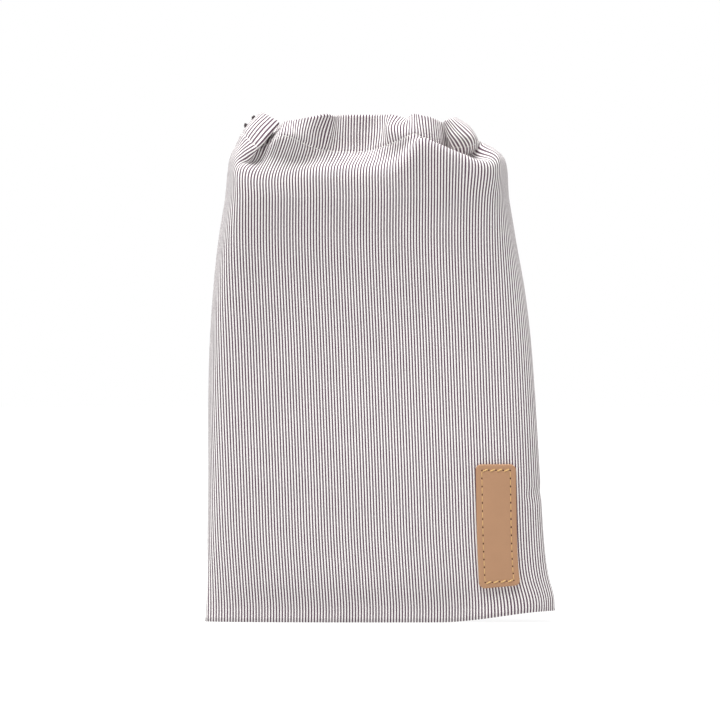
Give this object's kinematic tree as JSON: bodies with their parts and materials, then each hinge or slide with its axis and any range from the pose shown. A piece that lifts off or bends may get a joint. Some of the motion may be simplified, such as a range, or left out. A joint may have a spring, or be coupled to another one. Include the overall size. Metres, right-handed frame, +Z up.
{
  "type": "drawstring phone pouch",
  "caption": "Upright drawstring pouch of fine striped cotton with a gathered casing at the mouth and a small leather label; holds a phone.",
  "frame": {"origin": "middle of the base on the surface that the pouch stands on", "axes": "+Z up, front with the label towards -Y, +X to the right as seen from the front"},
  "size_m": [0.1305, 0.0434, 0.1908],
  "materials": {
    "striped_cotton": "fine cream and purple grey stripes, matt plain weave",
    "tan_leather": "smooth tan leather, satin",
    "dark_cord": "matt dark cord"
  },
  "bodies": {
    "root": {"front_panel": "striped_cotton", "back_panel": "striped_cotton", "leather_label": "tan_leather", "drawstring_end": "dark_cord"}
  },
  "joints": []
}
